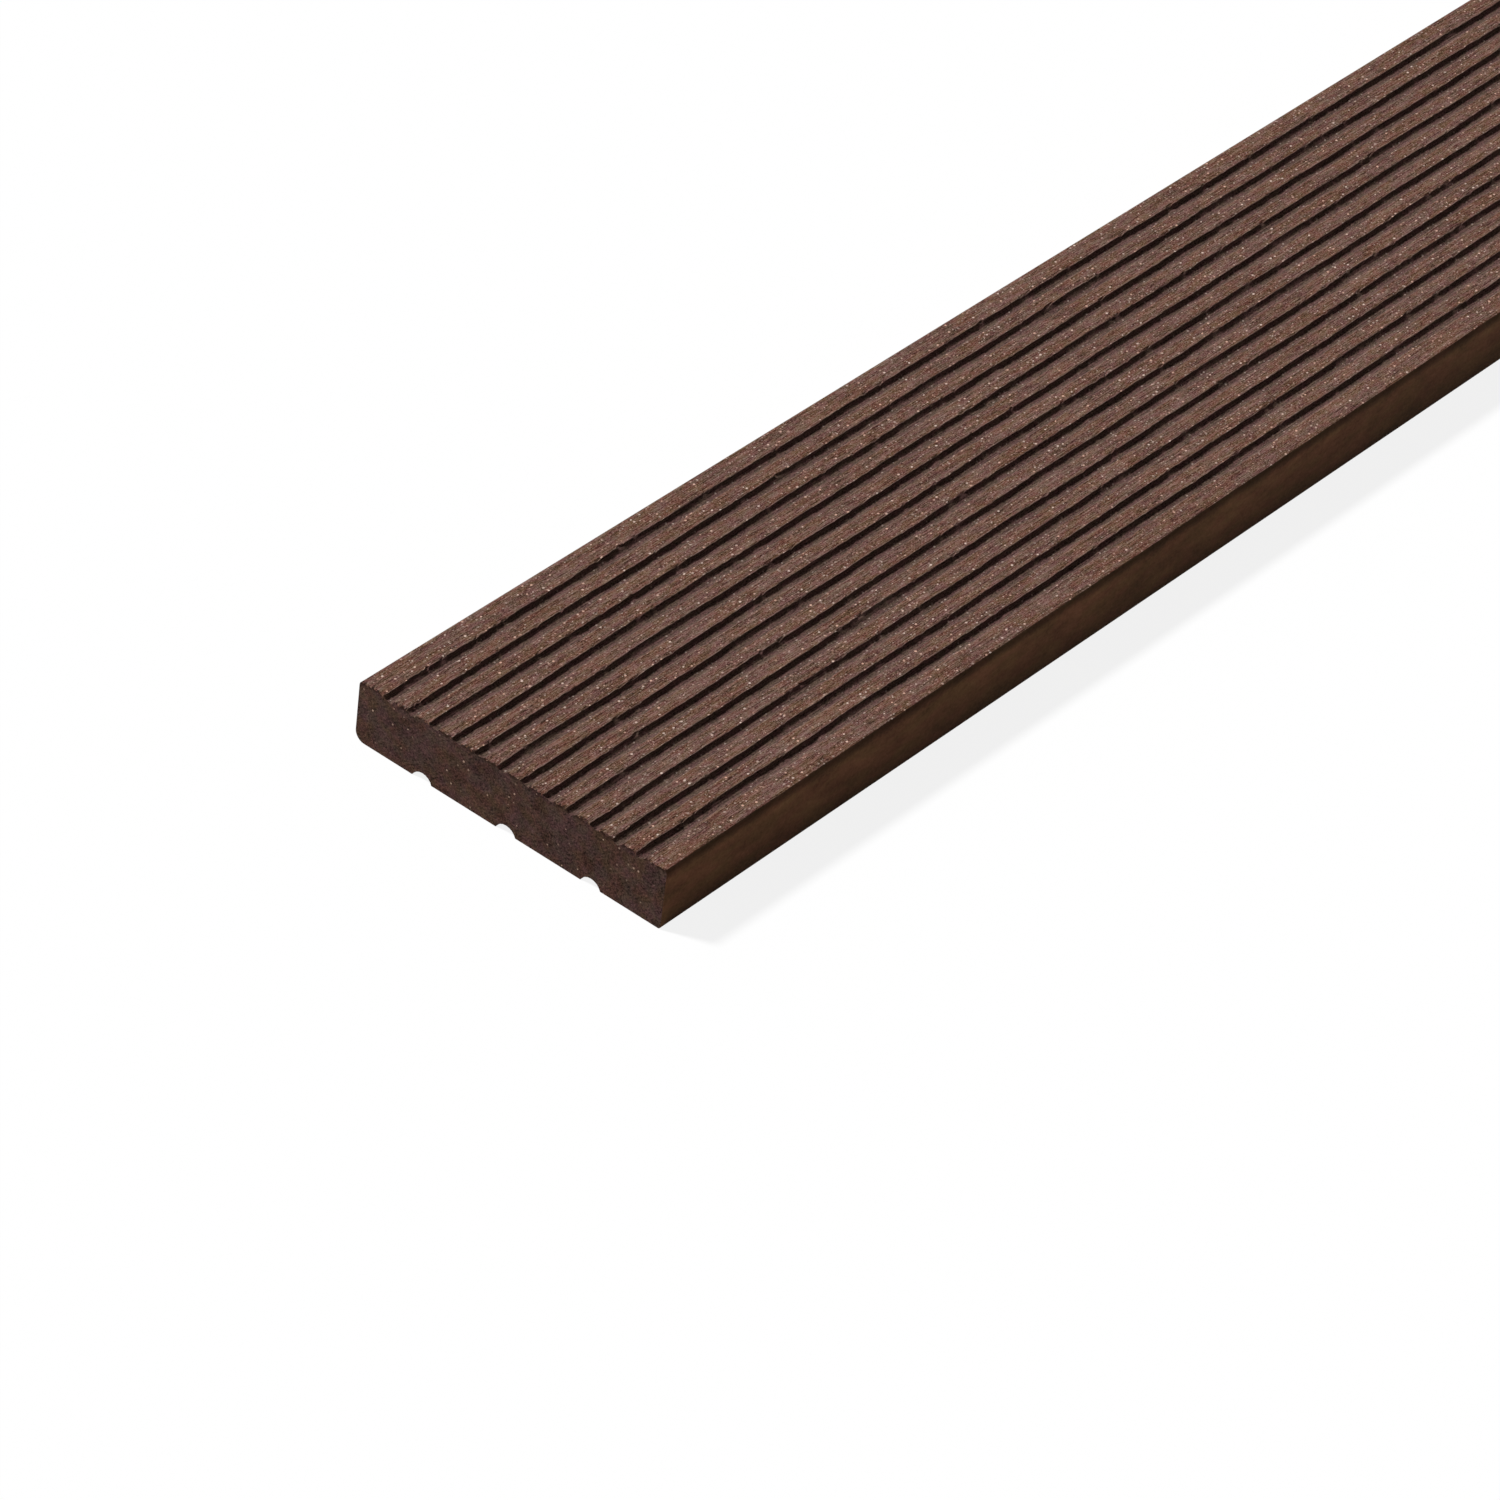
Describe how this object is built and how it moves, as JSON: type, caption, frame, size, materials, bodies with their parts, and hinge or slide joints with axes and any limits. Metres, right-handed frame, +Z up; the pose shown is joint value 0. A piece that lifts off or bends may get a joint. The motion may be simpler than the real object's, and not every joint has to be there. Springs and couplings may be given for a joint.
{
  "type": "composite skirting board",
  "caption": "Long flat composite trim board with fine flutes along one face and wide relief grooves along the other; covers the raw edge of a deck, step or wall base.",
  "frame": {"origin": "middle of the underside, half way along and across the board, on the plane that it lies on", "axes": "+X along the board's length, +Y across its width, +Z up out of the fluted face"},
  "size_m": [2.2, 0.066, 0.012],
  "materials": {
    "composite": "matte brushed wood-plastic composite"
  },
  "bodies": {
    "root": {"skirting_board": "composite"}
  },
  "joints": []
}
